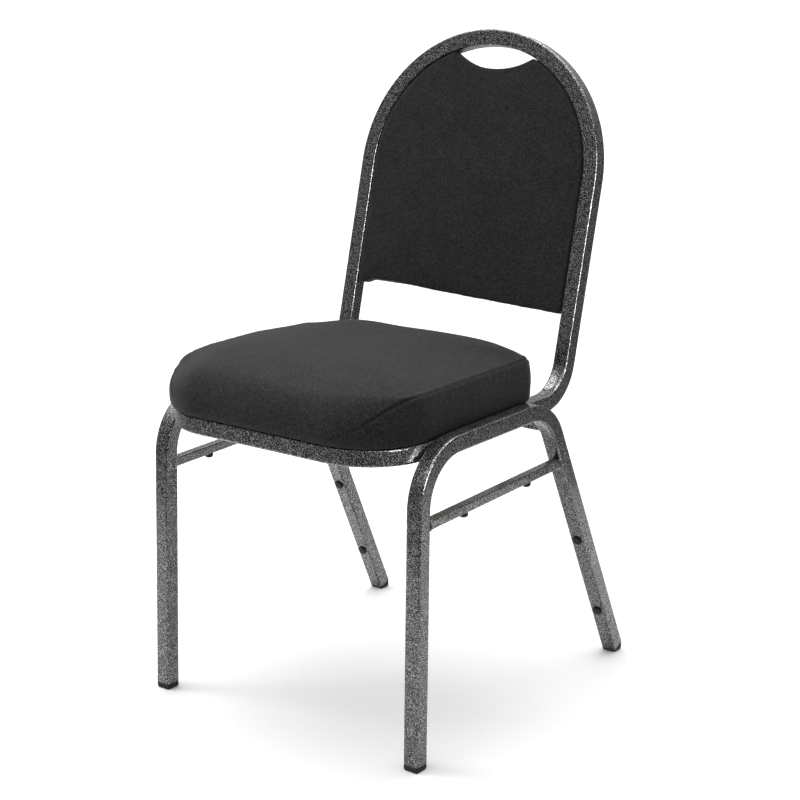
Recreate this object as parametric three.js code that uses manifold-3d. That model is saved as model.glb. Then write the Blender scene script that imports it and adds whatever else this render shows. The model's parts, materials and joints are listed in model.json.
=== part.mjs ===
// A stacking banquet chair: welded square-tube frame, upholstered seat and hooped back panel.
// Millimetres, +Z up, the chair faces -Y, the origin is on the floor under its middle.
// "left" is the sitter's left, which is +X.
import * as THREE from 'three';
import { mergeVertices } from 'three/addons/utils/BufferGeometryUtils.js';
import Module from 'manifold-3d';

// ---------- driving dimensions ----------
const GAP = 0.3;                 // clearance left between pieces that touch
const WELD_GAP = 0.4;            // side clearance between a leg frame and the seat rail beside it

const TUBE = 22.2;               // outer side of the main square tube
const TUBE_WALL = 1.2;
const TUBE_CORNER = 3;
const BAR = 12.7;                // outer side of the thin square tube
const BAR_WALL = 1.2;
const BAR_CORNER = 1.6;

const RAIL_Z = 403;              // height of the seat rails' centreline
const RAIL_X = 187.2;            // side rails and hoop uprights, from the middle
const FRONT_RAIL_Y = -256.9;
const RAIL_CORNER_R = 84;
const RAIL_JOINT_Y = -60;        // butt weld between the front rail and the hoop
const HOOP_Y = 137.4;            // where the hoop's upright meets the rail's height
const HOOP_BEND_R = 60;
const RECLINE = THREE.MathUtils.degToRad(14.28);
const DOME_V = 292.8;            // the dome's centre, measured up the recline from the rails

const LEG_X = RAIL_X + TUBE + WELD_GAP;
const LEG_TOP_Z = 408.3;
const LEG_BEND_R = 74;
const FRONT_FOOT_Y = -226.5;
const FRONT_LEAN = THREE.MathUtils.degToRad(1.65);
const REAR_FOOT_Y = 261.7;
const REAR_RAKE = THREE.MathUtils.degToRad(25.63);
const SPLAY = THREE.MathUtils.degToRad(0.49);
const METAL_END_Z = 7.9;         // height of the tube's cut end at its centreline

const STRETCHER_Z = 323.3;       // at y = 0
const STRETCHER_RISE = THREE.MathUtils.degToRad(1.14);
const STRETCHER_BUMPER_Y = [-128, 16];
const LEG_BUMPER_ALONG = [87, 223];
const REAR_BRACE = { y: 79.5, z: 377 };
const FRONT_BRACE = { y: -110, z: 403 };

const CUSHION_HALF_WIDTH = 198.2;
const CUSHION_FRONT_Y = -270.5;
const CUSHION_REAR_Y = 67;
const CUSHION_FRONT_R = 96;
const CUSHION_REAR_R = 30;
const CUSHION_TOP_Z = 488;
const CUSHION_ROUND = { size: 22, thickness: 20 };
const COVER = 1.2;               // cloth thickness
const SEAT_FOLD = 30;            // cloth turned in under the seat board
const SEAT_BOARD = 12;
const SEAT_FIXING_X = 162;
const SEAT_FIXING_Y = [-150, 25];

const BACK_BOTTOM_V = 115.5;
const BACK_CORNER_R = 10;
const BACK_SIDE_GAP = 1.3;
const GRIP_BOTTOM_V = 436.5;     // lowest point of the hand-hold cut-out
const GRIP_R = 125;
const BACK_FRONT_W = 13.3;       // front of the panel, ahead of the hoop's middle plane
const BACK_ROUND = { size: 7, thickness: 8 };
const BACK_COVER = 1;            // cloth thickness on the back panel's front and sides
const BACK_FOLD = 12;
const BACK_BOARD = 6;
const BACK_BOARD_W = -5;         // rear face of the back board
const BACK_FIXING_X = 155;
const BACK_FIXING_V = [160, 285];

const BACK_ARC_SEGMENTS = 5;
const BEND_STEP = THREE.MathUtils.degToRad(7.5);
const OUTLINE_STEP = THREE.MathUtils.degToRad(10);
const TUBE_STEP = THREE.MathUtils.degToRad(36);
const PLATE_STEP = THREE.MathUtils.degToRad(45);
const ROUND_SEGMENTS = 12;
const HOLE_SEGMENTS = 6;
const BEVEL_SEGMENTS = 3;

const PAST = 1;                  // how far a cutting body runs past the face it cuts
const FAR = 2000;                // side of a block larger than the whole chair

// ---------- materials ----------
function finish(color, roughness, metalness) {
  return new THREE.MeshStandardMaterial({ color, roughness, metalness });
}
const framePaint = finish(0x55565a, 0.42, 0.5);
const blackPlastic = finish(0x141415, 0.6, 0);
const blackCloth = finish(0x242427, 0.95, 0);
const foamWhite = finish(0xd9d3bd, 0.95, 0);
const plywood = finish(0xb98d5c, 0.75, 0);
const zincSteel = finish(0xb4b8bc, 0.35, 0.9);

// ---------- joining and cutting ----------
const wasm = await Module();
wasm.setup();

function toSolid(geometry) {
  const bare = geometry.clone();
  bare.deleteAttribute('normal');
  bare.deleteAttribute('uv');
  const merged = mergeVertices(bare, 1e-4);
  return new wasm.Manifold(new wasm.Mesh({
    numProp: 3,
    vertProperties: new Float32Array(merged.attributes.position.array),
    triVerts: new Uint32Array(merged.index.array),
  }));
}

function toGeometry(solid) {
  const mesh = solid.getMesh();
  const geometry = new THREE.BufferGeometry();
  geometry.setAttribute('position', new THREE.BufferAttribute(new Float32Array(mesh.vertProperties), 3));
  geometry.setIndex(new THREE.BufferAttribute(new Uint32Array(mesh.triVerts), 1));
  geometry.computeVertexNormals();
  return geometry;
}

function cut(body, tools) {
  return toGeometry(tools.reduce((solid, tool) => solid.subtract(toSolid(tool)), toSolid(body)));
}

function join(a, b) {
  return toGeometry(toSolid(a).add(toSolid(b)));
}

function common(a, b) {
  return toGeometry(toSolid(a).intersect(toSolid(b)));
}

// ---------- outlines and centrelines ----------
function direction(from, to) {
  return to.clone().sub(from).normalize();
}

/** Points and tangents round one bend, which turns from before-corner to corner-after. */
function bendStations(before, corner, after, radius, step) {
  const incoming = direction(before, corner);
  const outgoing = direction(corner, after);
  const angle = incoming.angleTo(outgoing);
  const inward = outgoing.clone().addScaledVector(incoming, -outgoing.dot(incoming)).normalize();
  const start = corner.clone().addScaledVector(incoming, -radius * Math.tan(angle / 2));
  const count = Math.max(2, Math.ceil(angle / step));
  return Array.from({ length: count + 1 }, (_, i) => {
    const turn = (angle * i) / count;
    const point = start.clone().addScaledVector(incoming, radius * Math.sin(turn));
    point.addScaledVector(inward, radius * (1 - Math.cos(turn)));
    const tangent = incoming.clone().multiplyScalar(Math.cos(turn)).addScaledVector(inward, Math.sin(turn));
    return { point, tangent };
  });
}

/** A centreline of straight runs and circular bends, with stations only where it turns. */
class BentLine extends THREE.Curve {
  constructor(corners, radii) {
    super();
    const last = corners.length - 1;
    this.stations = [{ point: corners[0], tangent: direction(corners[0], corners[1]) }];
    for (let i = 1; i < last; i += 1) {
      const bend = bendStations(corners[i - 1], corners[i], corners[i + 1], radii[i - 1], BEND_STEP);
      const touches = bend[0].point.distanceTo(this.stations.at(-1).point) < 0.01;
      this.stations.push(...(touches ? bend.slice(1) : bend));
    }
    this.stations.push({ point: corners[last], tangent: direction(corners[last - 1], corners[last]) });
    this.steps = this.stations.length - 1;
  }

  getPoint(t, target = new THREE.Vector3()) {
    return target.copy(this.stations[Math.round(t * this.steps)].point);
  }

  getTangent(t, target = new THREE.Vector3()) {
    return target.copy(this.stations[Math.round(t * this.steps)].tangent);
  }

  getPointAt(u, target) {
    return this.getPoint(u, target);
  }

  getTangentAt(u, target) {
    return this.getTangent(u, target);
  }
}

/** A closed outline through the given corners, each rounded with its own radius. */
function roundedOutline(corners, radii, step) {
  const count = corners.length;
  const points = corners.flatMap((corner, i) => {
    if (radii[i] === 0) return [corner];
    const before = corners[(i + count - 1) % count];
    const after = corners[(i + 1) % count];
    return bendStations(before, corner, after, radii[i], step).map((station) => station.point);
  });
  return points.map((point) => new THREE.Vector2(point.x, point.y));
}

function rectangleOutline(width, depth, radius, step = PLATE_STEP) {
  const [x, y] = [width / 2, depth / 2];
  const corners = [[-x, -y], [x, -y], [x, y], [-x, y]].map(([a, b]) => new THREE.Vector3(a, b, 0));
  return roundedOutline(corners, [radius, radius, radius, radius], step);
}

/** The shape's outline with arcs as points, each at least a hundredth of a millimetre from the next. */
function distinctPoints(shape, curveSegments) {
  const points = shape.getPoints(curveSegments);
  return points.filter((point, i) => point.distanceTo(points[(i + 1) % points.length]) > 0.01);
}

/** The section of a square tube; without a wall it is solid. */
function squareSection(size, corner, wall = 0) {
  const section = new THREE.Shape(rectangleOutline(size, size, corner, TUBE_STEP));
  if (wall > 0) {
    section.holes.push(new THREE.Path(rectangleOutline(size - 2 * wall, size - 2 * wall, 0)));
  }
  return section;
}

function sweep(section, line) {
  return new THREE.ExtrudeGeometry(section, { steps: line.steps, extrudePath: line, bevelEnabled: false });
}

/** A flat slab from low to high along Z. */
function slab(shape, low, high) {
  const options = { depth: high - low, bevelEnabled: false, curveSegments: HOLE_SEGMENTS };
  return new THREE.ExtrudeGeometry(shape, options).translate(0, 0, low);
}

/** A pad from low to high along Z, with its upper edge rounded over. */
function pad(shape, low, high, round) {
  const options = {
    depth: high - low - round.thickness,
    bevelEnabled: true,
    bevelSize: round.size,
    bevelOffset: -round.size,
    bevelThickness: round.thickness,
    bevelSegments: BEVEL_SEGMENTS,
  };
  const block = new THREE.ExtrudeGeometry(shape, options).translate(0, 0, low);
  const under = new THREE.BoxGeometry(FAR, FAR, FAR).translate(0, 0, low - FAR / 2);
  return cut(block, [under]);
}

/** A piece turned about Z from half-profile points [radius, height]. */
function turned(profile) {
  const points = profile.map(([radius, height]) => new THREE.Vector2(radius, height));
  return new THREE.LatheGeometry(points, ROUND_SEGMENTS).rotateX(Math.PI / 2);
}

function drill(radius, low, high) {
  return turned([[0, low], [radius, low], [radius, high], [0, high]]);
}

// ---------- the assembly ----------
const chair = new THREE.Group();
chair.name = 'stacking_chair';

function piece(name, geometry, material, parent = chair, position = [0, 0, 0]) {
  const mesh = new THREE.Mesh(geometry, material);
  mesh.name = name;
  mesh.position.set(...position);
  parent.add(mesh);
  return mesh;
}

const SIDES = [{ name: 'left', sign: 1 }, { name: 'right', sign: -1 }];
const tubeSection = squareSection(TUBE, TUBE_CORNER, TUBE_WALL);
const barSection = squareSection(BAR, BAR_CORNER, BAR_WALL);

// ---------- hoop and seat rails ----------
function hoopPoint(x, v) {
  return new THREE.Vector3(x, HOOP_Y + v * Math.sin(RECLINE), RAIL_Z + v * Math.cos(RECLINE));
}

function backHoop() {
  const top = DOME_V + RAIL_X;
  const end = RAIL_JOINT_Y + GAP / 2;
  const line = new BentLine([
    new THREE.Vector3(-RAIL_X, end, RAIL_Z),
    hoopPoint(-RAIL_X, 0),
    hoopPoint(-RAIL_X, top),
    hoopPoint(RAIL_X, top),
    hoopPoint(RAIL_X, 0),
    new THREE.Vector3(RAIL_X, end, RAIL_Z),
  ], [HOOP_BEND_R, RAIL_X, RAIL_X, HOOP_BEND_R]);
  piece('back_hoop', sweep(tubeSection, line), framePaint);
}

function seatFrontRail() {
  const end = RAIL_JOINT_Y - GAP / 2;
  const line = new BentLine([
    new THREE.Vector3(-RAIL_X, end, RAIL_Z),
    new THREE.Vector3(-RAIL_X, FRONT_RAIL_Y, RAIL_Z),
    new THREE.Vector3(RAIL_X, FRONT_RAIL_Y, RAIL_Z),
    new THREE.Vector3(RAIL_X, end, RAIL_Z),
  ], [RAIL_CORNER_R, RAIL_CORNER_R]);
  piece('seat_front_rail', sweep(tubeSection, line), framePaint);
}

// ---------- leg frames: built in a side's own plane, with its top rail at z = 0 ----------
function frontLegY(z) {
  return FRONT_FOOT_Y + z * Math.tan(FRONT_LEAN);
}

function rearLegY(z) {
  return REAR_FOOT_Y - z * Math.tan(REAR_RAKE);
}

function inSidePlane(y, z) {
  return new THREE.Vector3(0, y, z - LEG_TOP_Z);
}

const legLine = new BentLine([
  inSidePlane(frontLegY(METAL_END_Z), METAL_END_Z),
  inSidePlane(frontLegY(LEG_TOP_Z), LEG_TOP_Z),
  inSidePlane(rearLegY(LEG_TOP_Z), LEG_TOP_Z),
  inSidePlane(rearLegY(METAL_END_Z), METAL_END_Z),
], [LEG_BEND_R, LEG_BEND_R]);

const BUMPER_STEM_R = 2.7;
const BUMPER_HOLE_R = BUMPER_STEM_R + GAP;
const BUMPER_STEM = 5;

/** A push-in bumper: domed head above z = 0, stem below it. */
function bumper(radius, height) {
  return turned([
    [0, -BUMPER_STEM],
    [BUMPER_STEM_R, -BUMPER_STEM],
    [BUMPER_STEM_R, GAP],
    [radius, GAP],
    [radius, GAP + height * 0.35],
    [radius * 0.88, GAP + height * 0.75],
    [radius * 0.6, GAP + height],
    [0, GAP + height],
  ]);
}

const legBumper = bumper(7, 2.9);
const stretcherBumper = bumper(6, 5.6);
const bumperDrill = drill(BUMPER_HOLE_R, -BUMPER_STEM - PAST, PAST);

/** Turns +Z of a fitting to the outward side of the rear leg's front face. */
function onRearLeg(along) {
  const matrix = new THREE.Matrix4().makeTranslation(0, REAR_FOOT_Y, -LEG_TOP_Z);
  matrix.multiply(new THREE.Matrix4().makeRotationX(REAR_RAKE));
  matrix.multiply(new THREE.Matrix4().makeTranslation(0, -TUBE / 2, along));
  return matrix.multiply(new THREE.Matrix4().makeRotationX(Math.PI / 2));
}

const STRETCHER_OFFSET = (TUBE - BAR) / 2;

/** Turns +Z of a fitting to the underside of a side stretcher. */
function onStretcher(sign, y) {
  const z = STRETCHER_Z + y * Math.tan(STRETCHER_RISE) - LEG_TOP_Z;
  const matrix = new THREE.Matrix4().makeTranslation(sign * STRETCHER_OFFSET, y, z);
  matrix.multiply(new THREE.Matrix4().makeRotationX(STRETCHER_RISE));
  matrix.multiply(new THREE.Matrix4().makeTranslation(0, 0, -BAR / 2));
  return matrix.multiply(new THREE.Matrix4().makeRotationX(Math.PI));
}

function placed(name, geometry, material, parent, matrix) {
  const mesh = piece(name, geometry, material, parent);
  matrix.decompose(mesh.position, mesh.quaternion, mesh.scale);
}

function legFrame(side, parent) {
  const drills = LEG_BUMPER_ALONG.map((along) => bumperDrill.clone().applyMatrix4(onRearLeg(along)));
  piece(`${side.name}_leg_frame`, cut(sweep(tubeSection, legLine), drills), framePaint, parent);
  ['lower', 'upper'].forEach((place, i) => {
    const name = `${side.name}_${place}_leg_bumper`;
    placed(name, legBumper, blackPlastic, parent, onRearLeg(LEG_BUMPER_ALONG[i]));
  });
}

function sideStretcher(side, parent) {
  const ends = [frontLegY(STRETCHER_Z), rearLegY(STRETCHER_Z)].map((y) => {
    const z = STRETCHER_Z + y * Math.tan(STRETCHER_RISE) - LEG_TOP_Z;
    return new THREE.Vector3(side.sign * STRETCHER_OFFSET, y, z);
  });
  const bar = sweep(barSection, new BentLine(ends, []));
  const legs = sweep(squareSection(TUBE + 2 * GAP, 0), legLine);
  const drills = STRETCHER_BUMPER_Y.map((y) => bumperDrill.clone().applyMatrix4(onStretcher(side.sign, y)));
  piece(`${side.name}_side_stretcher`, cut(bar, [legs, ...drills]), framePaint, parent);
  ['front', 'rear'].forEach((place, i) => {
    const name = `${side.name}_${place}_stretcher_bumper`;
    placed(name, stretcherBumper, blackPlastic, parent, onStretcher(side.sign, STRETCHER_BUMPER_Y[i]));
  });
}

function sideGroup(side) {
  const group = new THREE.Group();
  group.position.set(side.sign * LEG_X, 0, LEG_TOP_Z);
  group.rotation.y = -side.sign * SPLAY;
  chair.add(group);
  legFrame(side, group);
  sideStretcher(side, group);
}

// ---------- foot glides ----------
const GLIDE_CHAMFER = 2.2;
const GLIDE_PLUG = 16;
const GLIDE_PLUG_CORNER = 1.6;
const GLIDE_BLOCK = 60;
const GLIDE_SOLE_MARGIN = 1;

function glide(side, place, footY, tilt) {
  const toFoot = new THREE.Matrix4().makeTranslation(side.sign * LEG_X, 0, LEG_TOP_Z);
  toFoot.multiply(new THREE.Matrix4().makeRotationY(-side.sign * SPLAY));
  toFoot.multiply(new THREE.Matrix4().makeTranslation(0, footY, -LEG_TOP_Z));
  toFoot.multiply(new THREE.Matrix4().makeRotationX(tilt));
  const end = METAL_END_Z / Math.cos(tilt) - GAP;
  const middle = new THREE.Vector3(0, 0, end).applyMatrix4(toFoot);
  const head = slab(squareSection(TUBE, TUBE_CORNER), -TUBE, end).applyMatrix4(toFoot);
  const bore = TUBE - 2 * TUBE_WALL - 2 * GAP;
  const plug = slab(squareSection(bore, GLIDE_PLUG_CORNER), end - PAST, end + GLIDE_PLUG);
  plug.applyMatrix4(toFoot);

  const width = TUBE + GLIDE_SOLE_MARGIN;
  const depth = TUBE * Math.cos(tilt) + GLIDE_SOLE_MARGIN;
  const sole = new THREE.Shape(rectangleOutline(width, depth, TUBE_CORNER));
  const block = pad(sole, 0, GLIDE_BLOCK, { size: GLIDE_CHAMFER, thickness: GLIDE_CHAMFER });
  block.rotateX(Math.PI).translate(middle.x, middle.y, GLIDE_BLOCK);
  piece(`${side.name}_${place}_glide`, join(common(head, block), plug), blackPlastic);
}

// ---------- cross braces ----------
function crossBrace(name, place, besideX) {
  const reach = besideX - TUBE / 2 - GAP;
  const line = new BentLine([
    new THREE.Vector3(-reach, place.y, place.z),
    new THREE.Vector3(reach, place.y, place.z),
  ], []);
  piece(name, sweep(barSection, line), framePaint);
}

// ---------- seat ----------
const COVER_BOTTOM_Z = RAIL_Z + TUBE / 2 + GAP;
const BOARD_BOTTOM_Z = COVER_BOTTOM_Z + COVER + GAP;
const BOARD_TOP_Z = BOARD_BOTTOM_Z + SEAT_BOARD;

function seatShape(inset) {
  const x = CUSHION_HALF_WIDTH - inset;
  const [front, rear] = [CUSHION_FRONT_Y + inset, CUSHION_REAR_Y - inset];
  const corners = [[-x, front], [x, front], [x, rear], [-x, rear]];
  const radii = [CUSHION_FRONT_R, CUSHION_FRONT_R, CUSHION_REAR_R, CUSHION_REAR_R];
  return new THREE.Shape(roundedOutline(
    corners.map(([a, b]) => new THREE.Vector3(a, b, 0)),
    radii.map((radius) => Math.max(radius - inset, 3)),
    OUTLINE_STEP,
  ));
}

const SEAT_TAB = { thickness: 2.5, length: 26, corner: 2 };
const INSERT = { flangeR: 8, flange: 1.4, barrelR: 4.2, boreR: 3.4, start: 2 };
const SEAT_SCREW = { headR: 6, head: 3.2, shankR: 3, tipBelowBoard: 3 };

function seatUpholstery() {
  const inside = COVER + GAP;
  const outer = pad(seatShape(0), COVER_BOTTOM_Z, CUSHION_TOP_Z, CUSHION_ROUND);
  const hollow = pad(seatShape(COVER), COVER_BOTTOM_Z + COVER, CUSHION_TOP_Z - COVER, CUSHION_ROUND);
  const opening = slab(seatShape(SEAT_FOLD), COVER_BOTTOM_Z - PAST, BOARD_TOP_Z);
  piece('seat_cover', cut(outer, [hollow, opening]), blackCloth);
  const foam = pad(seatShape(inside), BOARD_TOP_Z + GAP, CUSHION_TOP_Z - inside, CUSHION_ROUND);
  piece('seat_foam', foam, foamWhite);
}

function seatFixings() {
  const pockets = [];
  SIDES.forEach((side) => SEAT_FIXING_Y.forEach((y, i) => {
    const x = side.sign * SEAT_FIXING_X;
    const place = `${side.name}_${['front', 'rear'][i]}`;
    seatTab(`${place}_seat_tab`, side, y);
    threadedInsert(`${place}_seat_insert`, x, y);
    seatScrew(`${place}_seat_screw`, x, y);
    const { barrelR, flangeR, flange } = INSERT;
    pockets.push(drill(barrelR + GAP, BOARD_BOTTOM_Z - PAST, BOARD_TOP_Z + PAST).translate(x, y, 0));
    const seatOfFlange = BOARD_TOP_Z - flange - 2 * GAP;
    pockets.push(drill(flangeR + GAP, seatOfFlange, BOARD_TOP_Z + PAST).translate(x, y, 0));
  }));
  const board = slab(seatShape(COVER + GAP), BOARD_BOTTOM_Z, BOARD_TOP_Z);
  piece('seat_board', cut(board, pockets), plywood);
}

function seatTab(name, side, y) {
  const outerX = RAIL_X - TUBE / 2 - GAP;
  const width = 2 * (outerX - SEAT_FIXING_X);
  const shape = new THREE.Shape(rectangleOutline(width, SEAT_TAB.length, SEAT_TAB.corner));
  const hole = new THREE.Path().absarc(0, 0, SEAT_SCREW.shankR + GAP, 0, 2 * Math.PI);
  shape.holes.push(hole);
  const top = RAIL_Z + TUBE / 2;
  const tab = slab(shape, top - SEAT_TAB.thickness, top);
  piece(name, tab, framePaint, chair, [side.sign * SEAT_FIXING_X, y, 0]);
}

function threadedInsert(name, x, y) {
  const { barrelR, boreR, flange, flangeR } = INSERT;
  const bottom = BOARD_BOTTOM_Z + INSERT.start;
  const top = BOARD_TOP_Z - GAP;
  const ring = turned([
    [boreR, bottom],
    [barrelR, bottom],
    [barrelR, top - flange],
    [flangeR, top - flange],
    [flangeR, top],
    [boreR, top],
    [boreR, bottom],
  ]);
  piece(name, ring, zincSteel, chair, [x, y, 0]);
}

function seatScrew(name, x, y) {
  const under = RAIL_Z + TUBE / 2 - SEAT_TAB.thickness - GAP;
  const { headR, head, shankR } = SEAT_SCREW;
  const tip = BOARD_TOP_Z - SEAT_SCREW.tipBelowBoard;
  const screw = turned([
    [0, under - head],
    [headR * 0.6, under - head],
    [headR, under - head * 0.4],
    [headR, under],
    [shankR, under],
    [shankR, tip],
    [0, tip],
  ]);
  piece(name, screw, zincSteel, chair, [x, y, 0]);
}

// ---------- back panel: x across, y up the recline, z towards the front ----------
const backPlane = new THREE.Group();
backPlane.position.set(0, HOOP_Y, RAIL_Z);
backPlane.rotation.x = Math.PI / 2 - RECLINE;
chair.add(backPlane);

function backShape(inset) {
  const half = RAIL_X - TUBE / 2 - BACK_SIDE_GAP - inset;
  const bottom = BACK_BOTTOM_V + inset;
  const gripR = GRIP_R + inset;
  const gripV = GRIP_BOTTOM_V + GRIP_R;
  const between = gripV - DOME_V;
  const rise = (half ** 2 - gripR ** 2 + between ** 2) / (2 * between);
  const domeAngle = Math.asin(rise / half);
  const gripAngle = Math.asin((rise - between) / gripR);
  const r = Math.max(BACK_CORNER_R - inset, 2);
  const shape = new THREE.Shape();
  shape.moveTo(-half + r, bottom);
  shape.lineTo(half - r, bottom);
  shape.absarc(half - r, bottom + r, r, -Math.PI / 2, 0, false);
  shape.absarc(0, DOME_V, half, 0, domeAngle, false);
  shape.absarc(0, gripV, gripR, gripAngle, -Math.PI - gripAngle, true);
  shape.absarc(0, DOME_V, half, Math.PI - domeAngle, Math.PI, false);
  shape.absarc(-half + r, bottom + r, r, Math.PI, 1.5 * Math.PI, false);
  return new THREE.Shape(distinctPoints(shape, BACK_ARC_SEGMENTS));
}

const COVER_REAR_W = BACK_BOARD_W - BACK_COVER - GAP;
const BACK_TAB = { thickness: 1.4, height: 20, corner: 2, inward: 9 };
const TAB_FRONT_W = COVER_REAR_W - GAP;
const TAB_REAR_W = TAB_FRONT_W - BACK_TAB.thickness;
const BACK_REAR_W = -TUBE / 2 - 0.4;
const BACK_SCREW = { headR: 4.5, head: 1.8, shankR: 1.9, point: 2 };

function backUpholstery() {
  const inside = BACK_COVER + GAP;
  const outer = pad(backShape(0), COVER_REAR_W, BACK_FRONT_W, BACK_ROUND);
  const floor = COVER_REAR_W + BACK_COVER;
  const hollow = pad(backShape(BACK_COVER), floor, BACK_FRONT_W - BACK_COVER, BACK_ROUND);
  const opening = slab(backShape(BACK_FOLD), COVER_REAR_W - PAST, 0);
  piece('back_cover_front', cut(outer, [hollow, opening]), blackCloth, backPlane);
  const foam = pad(backShape(inside), BACK_BOARD_W + BACK_BOARD + GAP, BACK_FRONT_W - inside, BACK_ROUND);
  piece('back_foam', foam, foamWhite, backPlane);
}

function backFixings() {
  const boardHoles = [];
  const headPockets = [];
  const { headR, head, shankR } = BACK_SCREW;
  SIDES.forEach((side) => BACK_FIXING_V.forEach((v, i) => {
    const x = side.sign * BACK_FIXING_X;
    const place = `${side.name}_${['lower', 'upper'][i]}`;
    backTab(`${place}_back_tab`, side, v);
    backScrew(`${place}_back_screw`, x, v);
    const board = drill(shankR + GAP, BACK_BOARD_W - PAST, BACK_BOARD_W + BACK_BOARD + PAST);
    boardHoles.push(board.translate(x, v, 0));
    const pocket = drill(headR + 1, TAB_REAR_W - head - 2 * GAP, TAB_REAR_W + PAST);
    headPockets.push(pocket.translate(x, v, 0));
  }));
  const board = slab(backShape(BACK_COVER + GAP), BACK_BOARD_W, BACK_BOARD_W + BACK_BOARD);
  piece('back_board', cut(board, boardHoles), plywood, backPlane);
  const rear = slab(backShape(BACK_COVER), BACK_REAR_W, TAB_REAR_W - GAP);
  piece('back_cover_rear', cut(rear, headPockets), blackCloth, backPlane);
}

function backTab(name, side, v) {
  const outerX = RAIL_X - TUBE / 2 - GAP;
  const innerX = BACK_FIXING_X - BACK_TAB.inward;
  const shape = new THREE.Shape(rectangleOutline(outerX - innerX, BACK_TAB.height, BACK_TAB.corner));
  const middle = side.sign * (outerX + innerX) / 2;
  const hole = new THREE.Path();
  hole.absarc(side.sign * BACK_FIXING_X - middle, 0, BACK_SCREW.shankR + GAP, 0, 2 * Math.PI);
  shape.holes.push(hole);
  piece(name, slab(shape, TAB_REAR_W, TAB_FRONT_W), framePaint, backPlane, [middle, v, 0]);
}

function backScrew(name, x, v) {
  const under = TAB_REAR_W - GAP / 3;
  const { headR, head, shankR } = BACK_SCREW;
  const tip = BACK_BOARD_W + BACK_BOARD - 1;
  const screw = turned([
    [0, under - head],
    [headR * 0.6, under - head],
    [headR, under - head * 0.3],
    [headR, under],
    [shankR, under],
    [shankR, tip - BACK_SCREW.point],
    [0, tip],
  ]);
  piece(name, screw, zincSteel, backPlane, [x, v, 0]);
}

// ---------- build ----------
backHoop();
seatFrontRail();
SIDES.forEach((side) => {
  sideGroup(side);
  glide(side, 'front', FRONT_FOOT_Y, -FRONT_LEAN);
  glide(side, 'rear', REAR_FOOT_Y, REAR_RAKE);
});
crossBrace('front_cross_brace', FRONT_BRACE, RAIL_X);
crossBrace('rear_cross_brace', REAR_BRACE, LEG_X);
seatUpholstery();
seatFixings();
backUpholstery();
backFixings();

export default chair;
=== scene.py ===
"""Looks of the stacking chair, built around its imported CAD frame.

The chair's lengths are millimetres in the frame's own axes (+Z up, the chair faces -Y, its sitter's left
is +X), and make_piece() turns them into metres. The floor, the lamps and the camera are in metres.
"""

import json
import math

import bpy
import numpy as np
from mathutils import Matrix, Vector
from numpy.linalg import norm

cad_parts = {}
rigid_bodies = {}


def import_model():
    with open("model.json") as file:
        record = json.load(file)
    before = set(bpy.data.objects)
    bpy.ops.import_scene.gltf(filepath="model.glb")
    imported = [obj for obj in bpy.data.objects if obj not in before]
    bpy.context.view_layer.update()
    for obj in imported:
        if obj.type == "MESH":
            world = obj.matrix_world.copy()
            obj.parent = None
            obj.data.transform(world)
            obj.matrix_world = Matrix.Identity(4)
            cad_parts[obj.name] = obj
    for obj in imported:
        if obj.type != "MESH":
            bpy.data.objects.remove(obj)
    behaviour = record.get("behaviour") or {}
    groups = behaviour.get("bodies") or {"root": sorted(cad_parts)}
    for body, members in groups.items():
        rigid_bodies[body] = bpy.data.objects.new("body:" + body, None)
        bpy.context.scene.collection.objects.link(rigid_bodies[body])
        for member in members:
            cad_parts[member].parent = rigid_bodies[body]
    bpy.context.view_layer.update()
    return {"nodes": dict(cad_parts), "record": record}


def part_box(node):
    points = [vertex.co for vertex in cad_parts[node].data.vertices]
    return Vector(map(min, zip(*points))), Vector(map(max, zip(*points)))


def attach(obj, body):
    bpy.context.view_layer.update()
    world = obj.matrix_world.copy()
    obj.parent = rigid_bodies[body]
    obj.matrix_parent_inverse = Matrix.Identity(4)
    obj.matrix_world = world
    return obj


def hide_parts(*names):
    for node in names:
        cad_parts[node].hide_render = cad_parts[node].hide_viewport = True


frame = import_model()
scene = bpy.context.scene

MM = 0.001
X_AXIS = np.array([1.0, 0.0, 0.0])
UP = np.array([0.0, 0.0, 1.0])


def box_mm(node):
    """Lowest and highest corner of a CAD node, in millimetres."""
    low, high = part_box(node)
    return np.array(low) / MM, np.array(high) / MM


# ---------- sizes: read from the frame, or repeated from the CAD source ----------
rail_low, rail_high = box_mm("seat_front_rail")
hoop_low = box_mm("back_hoop")[0]
brace_boxes = {place: box_mm(f"{place}_cross_brace") for place in ("front", "rear")}
cover_low, cover_high = box_mm("seat_cover")
board_high = box_mm("seat_board")[1]

GAP = 0.3
TUBE = rail_high[2] - rail_low[2]
TUBE_CORNER = 3.0
BAR = np.ptp(brace_boxes["rear"], axis=0)[2]
BAR_CORNER = 1.8
BEND_DISH = 1.5
RAIL_DISH = 0.6

RAIL_Z = (rail_high[2] + rail_low[2]) / 2
RAIL_X = rail_high[0] - TUBE / 2
FRONT_RAIL_Y = rail_low[1] + TUBE / 2
RAIL_CORNER_R = 84.0
RAIL_JOINT_Y = (rail_high[1] + hoop_low[1]) / 2
HOOP_Y = 137.4
HOOP_BEND_R = 60.0
RECLINE = math.radians(14.28)
DOME_V = 292.8

LEG_X = RAIL_X + TUBE + 0.4
LEG_TOP_Z = 408.3
LEG_BEND_R = 74.0
FRONT_FOOT_Y = -226.5
FRONT_LEAN = math.radians(1.65)
REAR_FOOT_Y = 261.7
REAR_RAKE = math.radians(25.63)
SPLAY = math.radians(0.49)
METAL_END_Z = 7.9
GLIDE_CHAMFER = 2.2

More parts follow.
